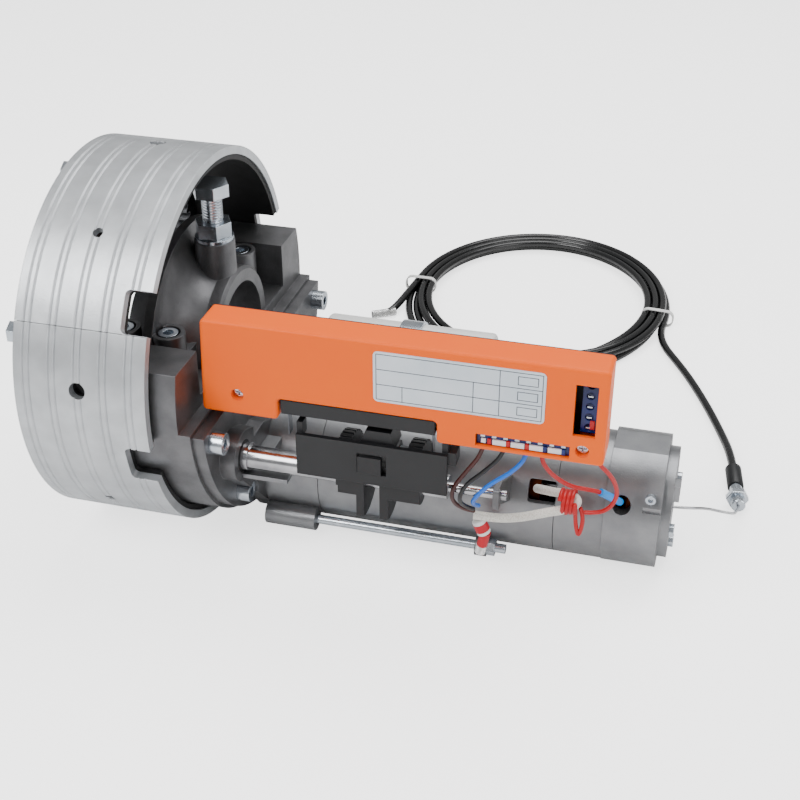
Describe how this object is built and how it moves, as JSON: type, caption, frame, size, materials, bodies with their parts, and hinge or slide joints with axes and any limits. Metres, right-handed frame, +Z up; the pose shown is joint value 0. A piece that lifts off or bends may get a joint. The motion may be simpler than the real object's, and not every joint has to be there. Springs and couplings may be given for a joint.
{
  "type": "roller shutter motor",
  "caption": "Central motor for a rolling shutter: a split drum crown turned by a gear motor clamped to an axle tube, with limit switches, control box and brake release cable.",
  "frame": {"origin": "on the axle's axis, in the plane of the crown's open rim", "axes": "+X along the axle from the crown to the motor's tail, +Z up, the motor hangs below the axle and the control box is on the -Y side"},
  "size_m": [0.3594, 0.481, 0.2],
  "materials": {
    "cast_aluminium": "satin",
    "black_nylon": "matte",
    "gear_steel": "satin",
    "zinc_steel": "satin",
    "ground_steel": "polished",
    "black_abs": "matte",
    "spring_steel": "satin",
    "seal_rubber": "matte",
    "lamination_steel": "matte",
    "copper_winding": "satin",
    "white_plastic": "gloss",
    "orange_abs": "satin",
    "label_film": "satin",
    "blue_terminal": "gloss",
    "wire_pvc": "gloss",
    "braided_sleeve": "woven",
    "cable_pvc": "satin"
  },
  "bodies": {
    "motor": {"axle_clamp_bolt": "zinc_steel", "axle_clamp_cap": "cast_aluminium", "box_screws": "zinc_steel", "brake_coil": "copper_winding", "brake_housing": "cast_aluminium", "cable_ferrule": "zinc_steel", "cable_ties": "white_plastic", "capacitor": "white_plastic", "capacitor_strap": "zinc_steel", "clamp_cap_screws": "zinc_steel", "clamp_lock_nut": "zinc_steel", "control_box_base": "black_abs", "control_box_cover": "orange_abs", "gear_bearings": "gear_steel", "gear_case": "cast_aluminium", "gear_case_cover": "cast_aluminium", "gear_cover_screws": "zinc_steel", "lock_plate": "black_abs", "microswitches": "black_abs", "motor_bearings": "gear_steel", "motor_front_bell": "cast_aluminium", "motor_lead_sleeve": "braided_sleeve", "motor_rear_bell": "cast_aluminium", "motor_wires": "wire_pvc", "rating_label": "label_film", "release_cable_coil": "cable_pvc", "release_cable_end": "cable_pvc", "release_cable_lead": "cable_pvc", "release_inner_wire": "spring_steel", "spindle_end_bracket": "zinc_steel", "spindle_seal": "seal_rubber", "stator_core": "lamination_steel", "stator_shell": "cast_aluminium", "stator_windings": "copper_winding", "supply_wires": "wire_pvc", "switch_carrier": "black_abs", "tail_cap": "cast_aluminium", "tail_screws": "zinc_steel", "terminal_blocks": "blue_terminal", "tie_rod_lugs": "cast_aluminium", "tie_rod_nuts": "zinc_steel", "tie_rods": "zinc_steel", "wire_marker": "white_plastic", "wire_tie": "wire_pvc"},
    "crown": {"crown_main": "cast_aluminium", "crown_segment": "cast_aluminium", "crown_liner": "black_nylon", "ring_gear": "gear_steel", "crown_back_bolts": "zinc_steel"},
    "output_shaft": {"output_gear": "gear_steel"},
    "counter_shaft": {"counter_gear": "gear_steel"},
    "rotor": {"rotor": "ground_steel"},
    "spindle": {"limit_spindle": "ground_steel"},
    "nut_near": {"limit_nut_near": "black_abs"},
    "nut_far": {"limit_nut_far": "black_abs"},
    "lock_button": {"lock_button": "black_abs"},
    "lever_near": {"switch_lever_near": "spring_steel"},
    "lever_far": {"switch_lever_far": "spring_steel"},
    "brake_armature": {"brake_armature": "lamination_steel"}
  },
  "joints": [
    {"name": "crown_turn", "type": "hinge", "parent": "motor", "child": "crown", "pos_m": [0, 0, 0], "axis": [1, 0, 0], "range_deg": [-170, 850]},
    {"name": "output_turn", "type": "hinge", "parent": "motor", "child": "output_shaft", "pos_m": [0, 0, -0.066], "axis": [1, 0, 0], "range_deg": [-794.33, 3967.67]},
    {"name": "counter_turn", "type": "hinge", "parent": "motor", "child": "counter_shaft", "pos_m": [0, 0.02268, -0.05542], "axis": [1, 0, 0], "range_deg": [-21817.67, 4364.33]},
    {"name": "rotor_turn", "type": "hinge", "parent": "motor", "child": "rotor", "pos_m": [0, 0, -0.066], "axis": [1, 0, 0], "range_deg": [-23999.33, 119992.67]},
    {"name": "spindle_turn", "type": "hinge", "parent": "motor", "child": "spindle", "pos_m": [0, -0.05976, -0.0345], "axis": [1, 0, 0], "range_deg": [-953, 4761]},
    {"name": "nut_near_travel", "type": "slide", "parent": "motor", "child": "nut_near", "axis": [1, 0, 0], "range_m": [-0.0199, 0.004]},
    {"name": "nut_far_travel", "type": "slide", "parent": "motor", "child": "nut_far", "axis": [1, 0, 0], "range_m": [-0.0199, 0.004]},
    {"name": "lock_button_press", "type": "slide", "parent": "motor", "child": "lock_button", "axis": [0, 1, 0], "range_m": [0, 0.0006], "stiffness_N_per_m": 600},
    {"name": "lever_near_swing", "type": "hinge", "parent": "motor", "child": "lever_near", "pos_m": [0.059, -0.0625, 0.008], "axis": [0, 1, 0], "range_deg": [0, 5.5], "stiffness_Nm_per_rad": 0.02},
    {"name": "lever_far_swing", "type": "hinge", "parent": "motor", "child": "lever_far", "pos_m": [0.1317, -0.0625, 0.008], "axis": [0, -1, 0], "range_deg": [0, 5.5], "stiffness_Nm_per_rad": 0.02},
    {"name": "brake_release", "type": "slide", "parent": "motor", "child": "brake_armature", "axis": [1, 0, 0], "range_m": [0, 0.0015], "stiffness_N_per_m": 3000}
  ],
  "couplings": [
    {"joint": "output_turn", "follows": "crown_turn", "ratio": 4.6667},
    {"joint": "counter_turn", "follows": "crown_turn", "ratio": -25.667},
    {"joint": "rotor_turn", "follows": "crown_turn", "ratio": 141.17},
    {"joint": "spindle_turn", "follows": "crown_turn", "ratio": 5.6},
    {"joint": "nut_near_travel", "follows": "crown_turn", "m_per_rad": -0.0013369},
    {"joint": "nut_far_travel", "follows": "crown_turn", "m_per_rad": -0.0013369}
  ]
}
